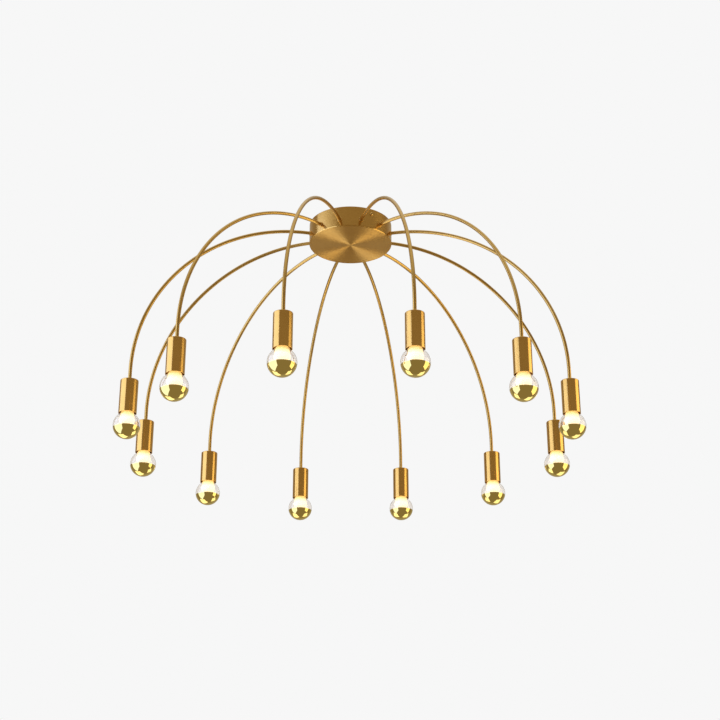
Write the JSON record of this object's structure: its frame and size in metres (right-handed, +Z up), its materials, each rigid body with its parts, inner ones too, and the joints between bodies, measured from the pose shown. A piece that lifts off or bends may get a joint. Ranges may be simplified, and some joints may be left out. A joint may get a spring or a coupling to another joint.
{
  "type": "multi arm chandelier",
  "caption": "Flush ceiling chandelier: a shallow round canopy with thin tubes that arch out and down from its wall, each ending in a long cup lamp holder with a half-mirrored globe lamp.",
  "frame": {"origin": "centre of the canopy on the ceiling plane", "axes": "+Z up into the ceiling, everything hangs below z = 0; the arms are spread evenly about Z, the first 15 degrees from +X"},
  "size_m": [0.7742, 0.7742, 0.4435],
  "materials": {
    "satin_brass": "brushed satin brass, lacquered",
    "tube_brass": "satin drawn brass tube",
    "zinc_steel": "zinc plated sheet steel",
    "screw_brass": "turned brass",
    "screw_steel": "turned steel",
    "holder_plastic": "moulded heat-resistant plastic",
    "block_plastic": "moulded plastic",
    "cable_sheath": "extruded cable sheath",
    "earth_sheath": "extruded wire sheath with stripes",
    "lamp_glass": "clear glass, lower half gold mirrored"
  },
  "bodies": {
    "light_frame": {"canopy_shell": "satin_brass", "lamp_wiring": "cable_sheath", "mounting_bracket": "zinc_steel", "canopy_screw_front": "screw_brass", "canopy_screw_back": "screw_brass", "terminal_block": "block_plastic", "earth_screw": "screw_steel", "earth_lead": "earth_sheath", "arm_01": "tube_brass", "lamp_cup_01": "satin_brass", "lamp_holder_01": "holder_plastic", "arm_02": "tube_brass", "lamp_cup_02": "satin_brass", "lamp_holder_02": "holder_plastic", "arm_03": "tube_brass", "lamp_cup_03": "satin_brass", "lamp_holder_03": "holder_plastic", "arm_04": "tube_brass", "lamp_cup_04": "satin_brass", "lamp_holder_04": "holder_plastic", "arm_05": "tube_brass", "lamp_cup_05": "satin_brass", "lamp_holder_05": "holder_plastic", "arm_06": "tube_brass", "lamp_cup_06": "satin_brass", "lamp_holder_06": "holder_plastic", "arm_07": "tube_brass", "lamp_cup_07": "satin_brass", "lamp_holder_07": "holder_plastic", "arm_08": "tube_brass", "lamp_cup_08": "satin_brass", "lamp_holder_08": "holder_plastic", "arm_09": "tube_brass", "lamp_cup_09": "satin_brass", "lamp_holder_09": "holder_plastic", "arm_10": "tube_brass", "lamp_cup_10": "satin_brass", "lamp_holder_10": "holder_plastic", "arm_11": "tube_brass", "lamp_cup_11": "satin_brass", "lamp_holder_11": "holder_plastic", "arm_12": "tube_brass", "lamp_cup_12": "satin_brass", "lamp_holder_12": "holder_plastic"},
    "lamp_01": {"bulb_01": "lamp_glass"},
    "lamp_02": {"bulb_02": "lamp_glass"},
    "lamp_03": {"bulb_03": "lamp_glass"},
    "lamp_04": {"bulb_04": "lamp_glass"},
    "lamp_05": {"bulb_05": "lamp_glass"},
    "lamp_06": {"bulb_06": "lamp_glass"},
    "lamp_07": {"bulb_07": "lamp_glass"},
    "lamp_08": {"bulb_08": "lamp_glass"},
    "lamp_09": {"bulb_09": "lamp_glass"},
    "lamp_10": {"bulb_10": "lamp_glass"},
    "lamp_11": {"bulb_11": "lamp_glass"},
    "lamp_12": {"bulb_12": "lamp_glass"}
  },
  "joints": [
    {"name": "lamp_01_withdraw", "type": "slide", "parent": "light_frame", "child": "lamp_01", "axis": [0, 0, -1], "range_m": [0, 0.045]},
    {"name": "lamp_02_withdraw", "type": "slide", "parent": "light_frame", "child": "lamp_02", "axis": [0, 0, -1], "range_m": [0, 0.045]},
    {"name": "lamp_03_withdraw", "type": "slide", "parent": "light_frame", "child": "lamp_03", "axis": [0, 0, -1], "range_m": [0, 0.045]},
    {"name": "lamp_04_withdraw", "type": "slide", "parent": "light_frame", "child": "lamp_04", "axis": [0, 0, -1], "range_m": [0, 0.045]},
    {"name": "lamp_05_withdraw", "type": "slide", "parent": "light_frame", "child": "lamp_05", "axis": [0, 0, -1], "range_m": [0, 0.045]},
    {"name": "lamp_06_withdraw", "type": "slide", "parent": "light_frame", "child": "lamp_06", "axis": [0, 0, -1], "range_m": [0, 0.045]},
    {"name": "lamp_07_withdraw", "type": "slide", "parent": "light_frame", "child": "lamp_07", "axis": [0, 0, -1], "range_m": [0, 0.045]},
    {"name": "lamp_08_withdraw", "type": "slide", "parent": "light_frame", "child": "lamp_08", "axis": [0, 0, -1], "range_m": [0, 0.045]},
    {"name": "lamp_09_withdraw", "type": "slide", "parent": "light_frame", "child": "lamp_09", "axis": [0, 0, -1], "range_m": [0, 0.045]},
    {"name": "lamp_10_withdraw", "type": "slide", "parent": "light_frame", "child": "lamp_10", "axis": [0, 0, -1], "range_m": [0, 0.045]},
    {"name": "lamp_11_withdraw", "type": "slide", "parent": "light_frame", "child": "lamp_11", "axis": [0, 0, -1], "range_m": [0, 0.045]},
    {"name": "lamp_12_withdraw", "type": "slide", "parent": "light_frame", "child": "lamp_12", "axis": [0, 0, -1], "range_m": [0, 0.045]}
  ]
}
